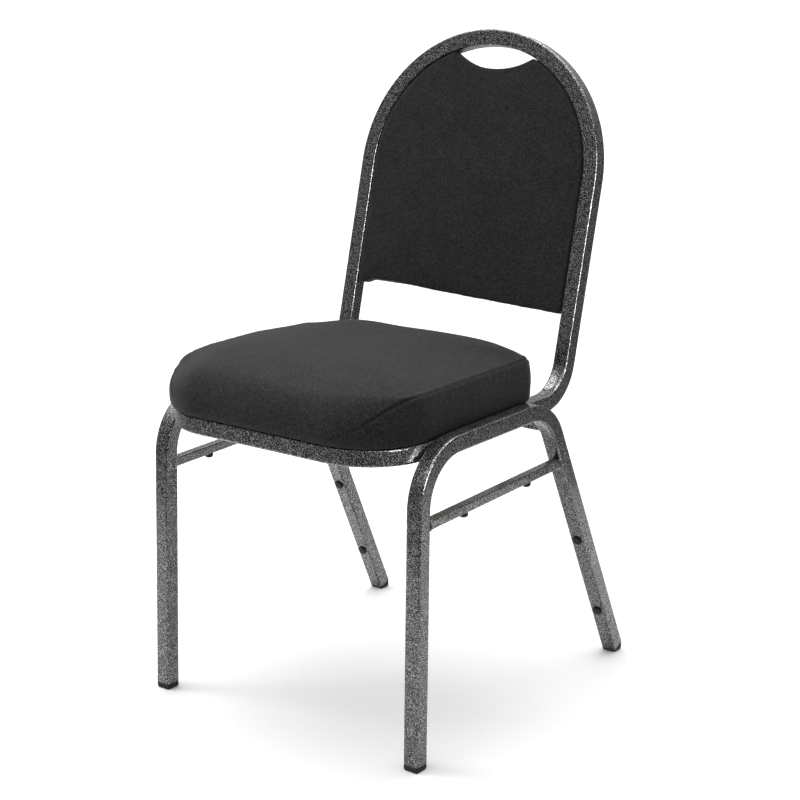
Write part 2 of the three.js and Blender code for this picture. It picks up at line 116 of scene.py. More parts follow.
STRETCHER_Z = 323.3
STRETCHER_RISE = math.radians(1.14)
STRETCHER_OFFSET = (TUBE - BAR) / 2
STRETCHER_BUMPER_Y = {"front": -128.0, "rear": 16.0}
STRETCHER_BUMPER = {"radius": 6.0, "height": 5.9}
LEG_BUMPER_ALONG = {"lower": 87.0, "upper": 223.0}
LEG_BUMPER = {"radius": 7.0, "height": 3.2}
BRACES = {place: (low + high) / 2 for place, (low, high) in brace_boxes.items()}
BRACE_REACH = {place: high[0] for place, (_, high) in brace_boxes.items()}

BAR_WELD_R, RAIL_WELD_R, BUTT_WELD_R = 1.3, 1.7, 0.75
BAR_WELD_CLIP = 1.5
RAIL_WELD_STARTS_Y, RAIL_WELD_LENGTH = (-150, -20), 34

SIDES = {"left": 1.0, "right": -1.0}


# ---------- meshes ----------
def new_object(name, data):
    """An object in the scene."""
    item = bpy.data.objects.new(name, data)
    scene.collection.objects.link(item)
    return item


def make_piece(name, verts, faces, slot, replaced=(), corner_normals=None):
    """A mesh piece of millimetre vertices, riding on the chair."""
    mesh = bpy.data.meshes.new(name)
    mesh.from_pydata([tuple(v) for v in np.asarray(verts) * MM], [], [tuple(f) for f in faces])
    mesh.polygons.foreach_set("use_smooth", [True] * len(mesh.polygons))
    mesh.update()
    if corner_normals is not None:
        mesh.normals_split_custom_set([tuple(n) for n in corner_normals])
    mesh.materials.append(MATERIALS[slot])
    piece = new_object(name, mesh)
    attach(piece, "root")
    if replaced:
        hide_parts(*replaced)
    return piece


class Heap:
    """Vertices and faces of several parts that make one piece, with a normal for each face corner."""

    def __init__(self):
        self.verts, self.faces, self.corner_normals = [], [], []

    def add(self, verts, faces, normals):
        start = len(self.verts)
        self.verts.extend(verts)
        for face in faces:
            self.faces.append(tuple(i + start for i in face))
            self.corner_normals.extend(normals[i] for i in face)

    def piece(self, name, slot, replaced=()):
        make_piece(name, self.verts, self.faces, slot, replaced, self.corner_normals)


def unit(v):
    v = np.asarray(v, float)
    return v / norm(v)


def smoothstep(low, high, x):
    t = np.clip((np.asarray(x, float) - low) / (high - low), 0, 1)
    return t * t * (3 - 2 * t)


def grid_faces(rings, count):
    """Quads between rings of count vertices, facing outward where rings turn anticlockwise about their path."""
    return [
        (i * count + j, i * count + (j + 1) % count, (i + 1) * count + (j + 1) % count, (i + 1) * count + j)
        for i in range(rings - 1)
        for j in range(count)
    ]


def capped_faces(rings, count):
    """The faces of a closed stack of rings, with one face across each end."""
    total = rings * count
    return grid_faces(rings, count) + [tuple(range(count))[::-1], tuple(range(total - count, total))]


# ---------- bent tubes ----------
BEND_STEP = math.radians(2.5)
ARC_STEPS = 5
TIGHT_BEND_R = 100.0  # only tighter bends dish


def bend(before, corner, after, radius):
    """The start of the arc that rounds a corner, its two directions and its angle."""
    incoming, outgoing = unit(corner - before), unit(after - corner)
    angle = math.acos(np.clip(incoming @ outgoing, -1, 1))
    inward = unit(outgoing - incoming * (incoming @ outgoing))
    return corner - incoming * radius * math.tan(angle / 2), incoming, inward, angle


def path_stations(corners, radii):
    """(point, tangent, inward direction or None, share of the bend, its radius) along a path."""
    corners = [np.asarray(c, float) for c in corners]
    stations = [(corners[0], unit(corners[1] - corners[0]), None, 0.0, 0.0)]
    for i in range(1, len(corners) - 1):
        radius = radii[i - 1]
        start, incoming, inward, angle = bend(*corners[i - 1:i + 2], radius)
        count = max(2, math.ceil(angle / BEND_STEP))
        for k in range(count + 1):
            turn = angle * k / count
            point = start + radius * (math.sin(turn) * incoming + (1 - math.cos(turn)) * inward)
            tangent = math.cos(turn) * incoming + math.sin(turn) * inward
            towards = math.cos(turn) * inward - math.sin(turn) * incoming
            if norm(point - stations[-1][0]) > 0.01:
                stations.append((point, tangent, towards, k / count, radius))
    stations.append((corners[-1], unit(corners[-1] - corners[-2]), None, 0.0, 0.0))
    return stations


def square_section(size, corner, flat_steps=6):
    """(offset, normal, across-flat coordinate -1..1 or None) round a square with rounded corners."""
    half = size / 2 - corner
    quarter = []
    for k in range(ARC_STEPS + 1):
        a = k / ARC_STEPS * math.pi / 2
        n = np.array([math.cos(a), math.sin(a)])
        quarter.append((np.array([half, half]) + corner * n, n, None))
    for k in range(1, flat_steps):
        t = 1 - 2 * k / flat_steps
        quarter.append((np.array([half * t, size / 2]), np.array([0.0, 1.0]), t))

    def turned(v, turn):
        cos, sin = math.cos(turn), math.sin(turn)
        return np.array([cos * v[0] - sin * v[1], sin * v[0] + cos * v[1]])

    turns = [i * math.pi / 2 for i in range(4)]
    return [(turned(p, turn), turned(n, turn), t) for turn in turns for p, n, t in quarter]


def sweep_tube(corners, radii, size, corner, across, dish=0.0):
    """Verts, faces, normals of a square tube along a path; across is one side's direction at its start.

    In a tight bend the wall on the inside sinks in by dish, as a bent tube's does.
    """
    stations = path_stations(corners, radii)
    section = square_section(size, corner)
    verts, normals = [], []
    a_axis = unit(across)
    tangent_before = stations[0][1]
    for point, tangent, inward, share, radius in stations:
        axis = np.cross(tangent_before, tangent)
        if norm(axis) > 1e-9:
            turn = Matrix.Rotation(math.asin(min(1.0, norm(axis))), 3, Vector(unit(axis)))
            a_axis = np.array(turn @ Vector(a_axis))
        a_axis = unit(a_axis - tangent * (a_axis @ tangent))
        b_axis = np.cross(tangent, a_axis)
        tangent_before = tangent
        sunk = dish > 0 and 0 < radius < TIGHT_BEND_R
        for (a, b), (na, nb), t in section:
            position = point + a * a_axis + b * b_axis
            normal = na * a_axis + nb * b_axis
            if sunk and t is not None and normal @ inward > 0.9:
                along = math.sin(math.pi * share) ** 0.7 if 0 < share < 1 else 0.0
                depth = dish * along * (1 - t * t) ** 1.5
                slope = -3 * dish * along * t * math.sqrt(1 - t * t) / (size / 2 - corner)
                width = np.cross(normal, tangent)
                width = width if width @ (a * a_axis + b * b_axis) * t > 0 else -width
                position = position - inward * depth
                normal = unit(normal + slope * width)
            verts.append(position)
            normals.append(normal)
    return verts, grid_faces(len(stations), len(section)), normals


def capped(verts, faces, normals, count):
    """A closed heap of a swept tube, with flat, sharp-edged ends."""
    heap = Heap()
    heap.add(verts, faces, normals)
    for ring, step in ((range(count), -1), (range(len(verts) - count, len(verts)), 1)):
        points = [verts[i] for i in ring]
        normal = unit(np.cross(points[count // 4] - points[0], points[count // 2] - points[0])) * step
        heap.faces.append(tuple(ring)[::step])
        heap.corner_normals.extend([normal] * count)
    return heap


def tube_piece(name, corners, radii, size, corner, across, dish=0.0):
    heap = capped(*sweep_tube(corners, radii, size, corner, across, dish), len(square_section(size, corner)))
    heap.piece(f"{name}_tube", "frame_paint", [name])


# ---------- materials ----------
class Nodes:
    """A node tree with short calls for adding nodes."""

    def __init__(self, tree):
        self.tree = tree

    def plug(self, socket, value):
        """Links a socket to another node's output, or sets it to a value."""
        if isinstance(value, bpy.types.NodeSocket):
            self.tree.links.new(value, socket)
        else:
            socket.default_value = value

    def node(self, kind, inputs=(), **settings):
        node = self.tree.nodes.new("ShaderNode" + kind)
        for key, value in settings.items():
            setattr(node, key, value)
        for key, value in dict(inputs).items():
            self.plug(node.inputs[key], value)
        return node

    def math(self, operation, a, b=0.0, c=0.0):
        return self.node("Math", {0: a, 1: b, 2: c}, operation=operation).outputs[0]

    def add(self, a, *more):
        for b in more:
            a = self.math("ADD", a, b)
        return a

    def times(self, a, b):
        return self.math("MULTIPLY", a, b)

    def map_range(self, value, low, high, to_low, to_high, **settings):
        inputs = {"Value": value, "From Min": low, "From Max": high, "To Min": to_low, "To Max": to_high}
        return self.node("MapRange", inputs, **settings).outputs[0]


class Shader(Nodes):
    """A material's nodes, laid out in its object's own space."""

    def __init__(self, name):
        self.material = bpy.data.materials.new(name)
        self.material.use_nodes = True
        super().__init__(self.material.node_tree)
        self.bsdf = self.tree.nodes["Principled BSDF"]
        self.coords = self.node("TexCoord").outputs["Object"]

    def set(self, **values):
        for key, value in values.items():
            self.plug(self.bsdf.inputs[key.replace("_", " ")], value)

    def noise(self, size_mm, detail=2.0, roughness=0.5, stretch=(1, 1, 1)):
        """Noise whose blobs are about size_mm across."""
        place = self.node("Mapping", {"Vector": self.coords, "Scale": stretch}).outputs[0]
        inputs = {"Vector": place, "Scale": 1 / (size_mm * MM), "Detail": detail, "Roughness": roughness}
        return self.node("TexNoise", inputs).outputs["Fac"]

    def ramp(self, factor, stops):
        node = self.node("ValToRGB", {"Fac": factor})
        elements = node.color_ramp.elements
        while len(elements) < len(stops):
            elements.new(0.5)
        for element, (position, value) in zip(elements, stops):
            element.position = position
            element.color = (*value, 1) if isinstance(value, tuple) else (value, value, value, 1)
        return node.outputs["Color"]

    def mix(self, factor, a, b, blend="MIX"):
        return self.node("MixRGB", {"Fac": factor, "Color1": a, "Color2": b}, blend_type=blend).outputs[0]

    def bump(self, height, depth_mm, strength=1.0, normal=None):
        inputs = {"Height": height, "Distance": depth_mm * MM, "Strength": strength}
        if normal is not None:
            inputs["Normal"] = normal
        return self.node("Bump", inputs).outputs[0]


def paint_material():
    """Hammered paint: near-black with fine silver flecks, under a glossy, slightly rough coat."""
    s = Shader("frame_paint_speckle")
    fleck = s.noise(1.1, detail=1.5, roughness=0.6)
    broad = s.noise(6.0)
    level = s.add(fleck, s.times(s.math("SUBTRACT", broad, 0.5), 0.06))
    s.set(
        Base_Color=s.ramp(level, [(0.47, 0.002), (0.52, 0.006), (0.555, 0.055), (0.60, 0.42)]),
        Roughness=s.map_range(level, 0.4, 0.6, 0.5, 0.32),
        Metallic=0.85, Coat_Weight=0.8, Coat_Roughness=0.12, Specular_IOR_Level=0.3,
        Normal=s.bump(fleck, 0.15, strength=0.5),
    )
    return s.material


THREAD_PITCH = 1.15


def weave_group():
    """A plain weave in a plane: Vector in metres in, thread height 0..1 out."""
    group = bpy.data.node_groups.new("plain_weave", "ShaderNodeTree")
    group.interface.new_socket("Vector", in_out="INPUT", socket_type="NodeSocketVector")
    group.interface.new_socket("Height", in_out="OUTPUT", socket_type="NodeSocketFloat")
    entry, leave = group.nodes.new("NodeGroupInput"), group.nodes.new("NodeGroupOutput")
    nodes = Nodes(group)
    op, times = nodes.math, nodes.times
    split = nodes.node("SeparateXYZ", {0: entry.outputs[0]}).outputs
    u, v = (times(split[i], 1 / (THREAD_PITCH * MM)) for i in range(2))
    parity = op("PINGPONG", nodes.add(op("FLOOR", u), op("FLOOR", v)), 1.0)

    def thread(across, along):
        profile = op("SINE", times(op("FRACT", across), math.pi))
        arch = op("SINE", times(op("FRACT", along), math.pi))
        return times(profile, op("MULTIPLY_ADD", arch, 0.45, 0.55))

    over = times(thread(u, v), parity)
    under = times(thread(v, u), op("SUBTRACT", 1.0, parity))
    nodes.plug(leave.inputs[0], nodes.add(over, under))
    return group


def cloth_material():
    """Black upholstery cloth: a plain weave seen along each axis, blended by the surface's direction."""
    s = Shader("black_woven_cloth")
    wobble = s.node("TexNoise", {"Vector": s.coords, "Scale": 1 / (14 * MM), "Detail": 2.0}).outputs["Color"]
    shift = s.node("VectorMath", {0: wobble, "Scale": 0.5 * MM}, operation="SCALE").outputs[0]
    warped = s.node("VectorMath", {0: s.coords, 1: shift}, operation="ADD").outputs[0]
    x, y, z = s.node("SeparateXYZ", {0: warped}).outputs
    group = weave_group()
    facing = s.node("SeparateXYZ", {0: s.node("TexCoord").outputs["Normal"]}).outputs
    shares, heights = [], []
    for (a, b), normal in zip(((y, z), (x, z), (x, y)), facing):
        plane = s.node("CombineXYZ", {0: a, 1: b}).outputs[0]
        heights.append(s.node("Group", {0: plane}, node_tree=group).outputs[0])
        shares.append(s.math("POWER", s.math("ABSOLUTE", normal), 6.0))
    total = s.add(*shares)
    height = s.add(*(s.times(s.math("DIVIDE", share, total), h) for share, h in zip(shares, heights)))
    slub = s.noise(1.9, roughness=0.7)
    mottle = s.noise(4.5, detail=4.0, roughness=0.75)
    cloud = s.noise(38.0, detail=3.0, roughness=0.55)
    yarn = s.add(s.times(slub, 0.7), s.times(mottle, 0.3))
    # Tone partly follows the thread relief: painted shade in the low places between threads and painted
    # highlight on their crowns, mixed with the yarn's own random tone
    level = s.add(s.times(height, 0.3), s.times(yarn, 0.7))
    tone = (0.0086, 0.0086, 0.0088)
    dark, light = (tuple(c * share for c in tone) for share in (0.2, 3.8))
    # Base colour with painted shade between the threads and painted highlight on their crowns
    thread_tone_and_gap_shade = s.ramp(level, [(0.38, dark), (0.5, tone), (0.63, light)])
    s.set(
        Base_Color=s.mix(0.35, thread_tone_and_gap_shade, s.ramp(cloud, [(0.35, 0.55), (0.65, 1.0)]), "MULTIPLY"),
        Roughness=s.map_range(slub, 0.3, 0.7, 0.92, 0.78),
        Sheen_Weight=0.155, Sheen_Roughness=0.35, Sheen_Tint=(0.75, 0.77, 0.82, 1), Specular_IOR_Level=0.12,
        Normal=s.bump(height, 0.16, strength=0.8, normal=s.bump(yarn, 0.9)),
    )
    return s.material


def plastic_material():
    s = Shader("black_moulded_plastic")
    grain = s.noise(0.6, detail=3.0, roughness=0.6)
    scuff = s.noise(4.0, detail=4.0, roughness=0.7)
    s.set(
        Base_Color=s.ramp(scuff, [(0.4, 0.006), (0.62, 0.009), (0.75, 0.022)]),
        Roughness=s.map_range(scuff, 0.3, 0.75, 0.5, 0.75),
        Specular_IOR_Level=0.3,
        Normal=s.bump(grain, 0.05, strength=0.6),
    )
    return s.material


def foam_material():
    s = Shader("cut_foam")
    cells = s.node("TexVoronoi", {"Vector": s.coords, "Scale": 1 / (1.1 * MM)}).outputs["Distance"]
    s.set(
        Base_Color=s.mix(s.noise(30.0), (0.72, 0.66, 0.50, 1), (0.66, 0.60, 0.42, 1)),
        Roughness=0.95, Subsurface_Weight=0.05,
        Normal=s.bump(cells, 0.5, strength=0.7),
    )
    return s.material


def plywood_material():
    s = Shader("birch_plywood")
    grain = s.noise(5.0, detail=6.0, roughness=0.62, stretch=(1.0, 0.06, 0.7))
    figure = s.noise(60.0, detail=3.0, stretch=(1.0, 0.25, 1.0))
    pores = s.noise(0.8, roughness=0.6, stretch=(1.0, 0.05, 1.0))
    dark, light, pale = (0.22, 0.175, 0.125), (0.33, 0.28, 0.215), (0.36, 0.315, 0.25)
    streaks = s.ramp(grain, [(0.3, dark), (0.55, light), (0.8, pale)])
    toned = s.mix(0.4, streaks, s.ramp(figure, [(0.35, 0.6), (0.65, 1.0)]), "MULTIPLY")
    s.set(
        Base_Color=s.mix(s.times(pores, 0.18), toned, (0.16, 0.09, 0.04, 1)),
        Roughness=s.map_range(grain, 0.3, 0.7, 0.75, 0.6),
        Normal=s.bump(pores, 0.12, strength=0.5),
    )
    return s.material


def zinc_material():
    s = Shader("zinc_plate")
    brushed = s.noise(1.2, detail=4.0, roughness=0.6, stretch=(1.0, 1.0, 6.0))
    bloom = s.noise(5.0, detail=3.0)
    grey, pale, yellowed = (0.42, 0.43, 0.42), (0.62, 0.63, 0.62), (0.66, 0.62, 0.50)
    s.set(
        Base_Color=s.ramp(bloom, [(0.35, grey), (0.6, pale), (0.75, yellowed)]),
        Roughness=s.map_range(brushed, 0.3, 0.7, 0.28, 0.48),
        Metallic=0.9,
        Normal=s.bump(brushed, 0.05, strength=0.4),
    )
    return s.material


MATERIALS = {
    "frame_paint": paint_material(),
    "black_cloth": cloth_material(),
    "black_plastic": plastic_material(),
    "foam": foam_material(),
    "plywood": plywood_material(),
    "zinc_steel": zinc_material(),
}
slot_of = {row["node"]: row["material_slot"] for row in frame["record"]["subparts"]}
for node_name, cad_node in frame["nodes"].items():
    cad_node.data.materials.clear()
    cad_node.data.materials.append(MATERIALS[slot_of[node_name]])


# ---------- frame ----------
def on_hoop(x, v, w=0.0):
    """A point in the hoop's plane: x across, v up the recline, w towards the front."""
    y = HOOP_Y + v * math.sin(RECLINE) - w * math.cos(RECLINE)
    z = RAIL_Z + v * math.cos(RECLINE) + w * math.sin(RECLINE)
    return np.array([x, y, z])


dome_top = DOME_V + RAIL_X
hoop_end = RAIL_JOINT_Y + GAP / 2
tube_piece(
    "back_hoop",
    [
        (-RAIL_X, hoop_end, RAIL_Z), on_hoop(-RAIL_X, 0), on_hoop(-RAIL_X, dome_top),
        on_hoop(RAIL_X, dome_top), on_hoop(RAIL_X, 0), (RAIL_X, hoop_end, RAIL_Z),
    ],
    [HOOP_BEND_R, RAIL_X, RAIL_X, HOOP_BEND_R],
    TUBE, TUBE_CORNER, X_AXIS, BEND_DISH,
)
rail_end = RAIL_JOINT_Y - GAP / 2
tube_piece(
    "seat_front_rail",
    [
        (-RAIL_X, rail_end, RAIL_Z), (-RAIL_X, FRONT_RAIL_Y, RAIL_Z),
        (RAIL_X, FRONT_RAIL_Y, RAIL_Z), (RAIL_X, rail_end, RAIL_Z),
    ],
    [RAIL_CORNER_R, RAIL_CORNER_R],
    TUBE, TUBE_CORNER, X_AXIS, RAIL_DISH,
)


def side_point(sign, x, y, z):
    """A point given in a side's own upright plane, placed with the side's splay."""
    drop = z - LEG_TOP_Z
    return np.array([
        sign * (LEG_X - drop * math.sin(SPLAY)) + x * math.cos(SPLAY),
        y,
        LEG_TOP_Z + drop * math.cos(SPLAY) + sign * x * math.sin(SPLAY),
    ])


def front_leg_y(z):
    return FRONT_FOOT_Y + z * math.tan(FRONT_LEAN)


def rear_leg_y(z):
    return REAR_FOOT_Y - z * math.tan(REAR_RAKE)


def stretcher_z(y):
    return STRETCHER_Z + y * math.tan(STRETCHER_RISE)


def ring_path(points, clip):
    """A closed polyline round the given corners, each cut off at a distance of clip."""
    path = []
    for i, corner in enumerate(points):
        before, after = points[i - 1], points[(i + 1) % len(points)]
        path.append(corner + unit(before - corner) * clip)
        path.append(corner + unit(after - corner) * clip)
    return path


def square_corners(half):
    """The corners of a square about the origin."""
    return [(-half, -half), (half, -half), (half, half), (-half, half)]


BEAD_SIDES, BEAD_STEP, BEAD_RIPPLE = 8, 0.7, 2.3


def weld_bead(heap, path, radius, seed, closed=True):
    """A rippled fillet of weld along a polyline."""
    path = [np.asarray(p, float) for p in path]
    if closed:
        path = path + [path[0]]
    lengths = [norm(b - a) for a, b in zip(path, path[1:])]
    total = sum(lengths)
    count = max(6, int(total / BEAD_STEP))
    marks = np.linspace(0, total, count + 1)
    edges = np.concatenate([[0], np.cumsum(lengths)])
    rng = np.random.default_rng(seed)
    wander = rng.normal(0, 0.06, count + 1)
    verts, normals = [], []
    for k, mark in enumerate(marks):
        i = min(len(lengths) - 1, int(np.searchsorted(edges, mark, side="right")) - 1)
        tangent = unit(path[i + 1] - path[i])
        point = path[i] + tangent * (mark - edges[i])
        helper = UP if abs(tangent @ UP) < 0.9 else X_AXIS
        a_axis = unit(np.cross(tangent, helper))
        b_axis = np.cross(tangent, a_axis)
        swell = 1 + 0.16 * abs(math.sin(math.pi * mark / BEAD_RIPPLE)) + wander[k]
        taper = 1.0 if closed else min(1.0, 0.35 + min(mark, total - mark) / 3)
        for j in range(BEAD_SIDES):
            turn = 2 * math.pi * j / BEAD_SIDES
            normal = math.cos(turn) * a_axis + math.sin(turn) * b_axis
            verts.append(point + normal * radius * swell * taper)
            normals.append(normal)
    heap.add(verts, capped_faces(count + 1, BEAD_SIDES), normals)


for side, sign in SIDES.items():
    leg_corners = [
        side_point(sign, 0, front_leg_y(METAL_END_Z), METAL_END_Z),
        side_point(sign, 0, front_leg_y(LEG_TOP_Z), LEG_TOP_Z),
        side_point(sign, 0, rear_leg_y(LEG_TOP_Z), LEG_TOP_Z),
        side_point(sign, 0, rear_leg_y(METAL_END_Z), METAL_END_Z),
    ]
    across_side = unit(side_point(sign, 1, 0, 0) - side_point(sign, 0, 0, 0))
    tube_piece(f"{side}_leg_frame", leg_corners, [LEG_BEND_R] * 2, TUBE, TUBE_CORNER, across_side, BEND_DISH)

    bar_x = sign * STRETCHER_OFFSET
    front_face = front_leg_y(STRETCHER_Z) + TUBE / 2 + GAP
    rear_face = rear_leg_y(STRETCHER_Z) - TUBE / 2 / math.cos(REAR_RAKE) - GAP
    ends = [side_point(sign, bar_x, y, stretcher_z(y)) for y in (front_face, rear_face)]
    verts, faces, normals = sweep_tube(ends, [], BAR, BAR_CORNER, across_side)
    count = len(verts) // 2
    for i in range(count, 2 * count):  # the rear end follows the raked leg
        verts[i] = verts[i] + np.array([0, -(verts[i][2] - ends[1][2]) * math.tan(REAR_RAKE), 0])
    stretcher = capped(verts, faces, normals, count)
    stretcher.piece(f"{side}_side_stretcher_tube", "frame_paint", [f"{side}_side_stretcher"])

    welds = Heap()
    square = square_corners(BAR / 2)
    front_ring = [side_point(sign, bar_x + a, front_face - GAP, stretcher_z(front_face) + b) for a, b in square]
    rear_ring = [
        side_point(sign, bar_x + a, rear_face + GAP - b * math.tan(REAR_RAKE), stretcher_z(rear_face) + b)
        for a, b in square
    ]
    weld_bead(welds, ring_path(front_ring, BAR_WELD_CLIP), BAR_WELD_R, seed=3)
    weld_bead(welds, ring_path(rear_ring, BAR_WELD_CLIP), BAR_WELD_R, seed=4)
    for start in RAIL_WELD_STARTS_Y:
        between = -sign * (TUBE / 2 + 0.2)  # half way between the leg frame and the seat rail
        under = [side_point(sign, between, y, LEG_TOP_Z - TUBE / 2) for y in (start, start + RAIL_WELD_LENGTH)]
        weld_bead(welds, under, RAIL_WELD_R, seed=5, closed=False)
    for place, (_, y, z) in BRACES.items():
        ring = [np.array([sign * (BRACE_REACH[place] + GAP), y + a, z + b]) for a, b in square]
        weld_bead(welds, ring_path(ring, BAR_WELD_CLIP), BAR_WELD_R, seed=7)
    welds.piece(f"{side}_frame_welds", "frame_paint")

for place, (_, y, z) in BRACES.items():
    reach = BRACE_REACH[place]
    tube_piece(f"{place}_cross_brace", [(-reach, y, z), (reach, y, z)], [], BAR, BAR_CORNER, UP)

butt = Heap()
for sign in SIDES.values():
    square = square_corners(TUBE / 2 - 0.35)  # sunk a little into the joint
    corners = [np.array([sign * RAIL_X + a, RAIL_JOINT_Y, RAIL_Z + b]) for a, b in square]
    weld_bead(butt, ring_path(corners, TUBE_CORNER), BUTT_WELD_R, seed=11)
butt.piece("rail_butt_welds", "frame_paint")


# ---------- turned plastic pieces and glides ----------
BUMPER_SIDES = 32
STEM_R, STEM_DEPTH = 2.7, 5
# shares of a head's radius and height, from its rim to the dimple in its middle
BUMPER_DOME = [
    (1, 0.42), (0.97, 0.58), (0.9, 0.76), (0.78, 0.92), (0.62, 1), (0.45, 0.99), (0.4, 0.9), (0.2, 0.88),
]


def bumper(name, centre, axis, radius, height):
    """A push-in bumper: a low domed head with a rim, and its stem, turned about an axis through centre."""
    profile = [(STEM_R, -STEM_DEPTH), (STEM_R, GAP), (radius - 0.5, GAP), (radius, 0.8)]
    profile += [(radius * across, height * up) for across, up in BUMPER_DOME]
    a_axis = unit(np.cross(axis, X_AXIS if abs(axis @ X_AXIS) < 0.9 else UP))
    b_axis = np.cross(axis, a_axis)
    turns = [2 * math.pi * k / BUMPER_SIDES for k in range(BUMPER_SIDES)]
    spokes = [math.cos(turn) * a_axis + math.sin(turn) * b_axis for turn in turns]
    verts = [centre + axis * up + across * spoke for across, up in profile for spoke in spokes]
    make_piece(f"{name}_moulding", verts, capped_faces(len(profile), BUMPER_SIDES), "black_plastic", [name])


def side_direction(sign, x, y, z):
    return unit(side_point(sign, x, y, z) - side_point(sign, 0, 0, 0))


for side, sign in SIDES.items():
    for place, along in LEG_BUMPER_ALONG.items():
        y = REAR_FOOT_Y - along * math.sin(REAR_RAKE) - TUBE / 2 * math.cos(REAR_RAKE)
        z = along * math.cos(REAR_RAKE) - TUBE / 2 * math.sin(REAR_RAKE)
        outward = side_direction(sign, 0, -math.cos(REAR_RAKE), -math.sin(REAR_RAKE))
        bumper(f"{side}_{place}_leg_bumper", side_point(sign, 0, y, z), outward, **LEG_BUMPER)
    for place, y in STRETCHER_BUMPER_Y.items():
        centre = side_point(sign, sign * STRETCHER_OFFSET, y, stretcher_z(y) - BAR / 2)
        bumper(f"{side}_{place}_stretcher_bumper", centre, side_direction(sign, 0, 0, -1), **STRETCHER_BUMPER)


COLLAR_INSET = 1.2
# height above the floor and inset of each row of a glide, from its collar to its sole
GLIDE_ROWS = [(GLIDE_CHAMFER + 0.6, 0.0), (1.5, 0.4), (0.7, 1.1), (0.15, 1.9), (0.0, 2.4)]


def glide(side, sign, place, foot_y, tilt):
    """A foot: a collar that closes the cut tube, and a wedge down to a flat sole."""
    along = np.array([0.0, -math.sin(tilt), math.cos(tilt)])
    end = METAL_END_Z / math.cos(tilt) - GAP
    section = square_section(TUBE, TUBE_CORNER, 4)
    backward = np.array([0.0, math.cos(tilt), math.sin(tilt)])

    def ring(grow):
        row = []
        for (a, b), (na, nb), _ in section:
            p = along * end + backward * (b + nb * grow)
            row.append(side_point(sign, a + na * grow, foot_y + p[1], p[2]))
        return row

    top = ring(0.0)
    level = np.array([1, 1, 0])
    centre = np.mean(top, axis=0)

    def dropped(height, inset):
        row = []
        for p in top:
            out = (p - centre) * level
            shrink = 1 - inset / norm(out)
            row.append(centre * level + out * shrink + UP * min(height, p[2] - 0.05))
        return row

    rows = [ring(-COLLAR_INSET), top] + [dropped(height, inset) for height, inset in GLIDE_ROWS]
    verts = [p for row in rows for p in row]
    faces = [face[::-1] for face in capped_faces(len(rows), len(section))]
    name = f"{side}_{place}_glide"
    make_piece(f"{name}_moulding", verts, faces, "black_plastic", [name])


for side, sign in SIDES.items():
    glide(side, sign, "front", FRONT_FOOT_Y, -FRONT_LEAN)
    glide(side, sign, "rear", REAR_FOOT_Y, REAR_RAKE)


# ---------- boards ----------
FASTENER_ROOM = 14.0


def slimmer_board(node, amount, fastener, plane):
    """A copy of a CAD board whose outline is drawn in; its fastener holes stay where they are."""
    cad = frame["nodes"][node]
    corners = np.round([cad.matrix_world @ v.co for v in cad.data.vertices], 6) / MM
    verts, index = np.unique(corners, axis=0, return_inverse=True)
    index = index.ravel()
    centre = verts.mean(axis=0)
    axes = [np.mean(box_mm(name), axis=0) for name in frame["nodes"] if fastener in name]
    for v in verts:
        if all(norm((v - axis)[plane]) > FASTENER_ROOM for axis in axes):
            out = v - centre
            v -= out * amount / norm(out)
    faces = [tuple(index[list(p.vertices)]) for p in cad.data.polygons]
    faces = [face for face in faces if len(set(face)) == len(face)]
    board = make_piece(f"{node}_plate", verts, faces, "plywood", [node])
    board.data.polygons.foreach_set("use_smooth", [False] * len(faces))


slimmer_board("seat_board", amount=9.0, fastener="seat_insert", plane=[0, 1])
slimmer_board("back_board", amount=5.0, fastener="back_screw", plane=[0, 2])


# ---------- closed outlines for the upholstery ----------
def rounded_outline(corners, radii, spacing):
    """Evenly spaced points and outward normals round a 2-D outline with rounded corners, anticlockwise."""
    dense = []
    count = len(corners)
    for i in range(count):
        around = (np.array(corners[(i + k) % count], float) for k in (-1, 0, 1))
        start, incoming, inward, angle = bend(*around, radii[i])
        for turn in np.linspace(0, angle, 40):
            dense.append(start + radii[i] * (math.sin(turn) * incoming + (1 - math.cos(turn)) * inward))
    return resample(np.array(dense), spacing)


def distances(rows):
    """How far each row of points, or each point of a polyline, is from the first, along the way there."""
    steps = norm(np.diff(rows, axis=0), axis=-1)
    return np.concatenate([np.zeros_like(steps[:1]), np.cumsum(steps, axis=0)])


def resample(dense, spacing):
    """Evenly spaced points on a closed polyline, with outward normals for an anticlockwise one."""
    loop = np.vstack([dense, dense[:1]])
    marks = distances(loop)
    count = int(round(marks[-1] / spacing))
    at = np.linspace(0, marks[-1], count, endpoint=False)
    points = np.stack([np.interp(at, marks, loop[:, i]) for i in range(2)], axis=1)
    ahead, behind = np.roll(points, -1, axis=0), np.roll(points, 1, axis=0)
    tangent = ahead - behind
    tangent /= norm(tangent, axis=1)[:, None]
    return points, np.stack([tangent[:, 1], -tangent[:, 0]], axis=1)


def smooth_loop(values, passes):
    for _ in range(passes):
        values = (np.roll(values, 1, axis=0) + 2 * values + np.roll(values, -1, axis=0)) / 4
    return values


def spline(points, count):
    """Catmull-Rom points through the given ones, count to each stretch."""
    p = np.array(points, float)
    p = np.vstack([2 * p[0] - p[1], p, 2 * p[-1] - p[-2]])
    out = []
    for i in range(1, len(p) - 2):
        for k in range(count):
            t = k / count
            a, b, c, d = p[i - 1:i + 3]
            square, cube = 2 * a - 5 * b + 4 * c - d, 3 * b - a - 3 * c + d
            out.append(0.5 * (2 * b + (c - a) * t + square * t * t + cube * t ** 3))
    out.append(p[-2])
    return np.array(out)


def domed_faces(rings, count):
    """Faces over rings of count vertices, the last of which closes on a centre vertex that follows it."""
    tip = rings * count
    last = tip - count
    return grid_faces(rings, count) + [(last + j, last + (j + 1) % count, tip) for j in range(count)]


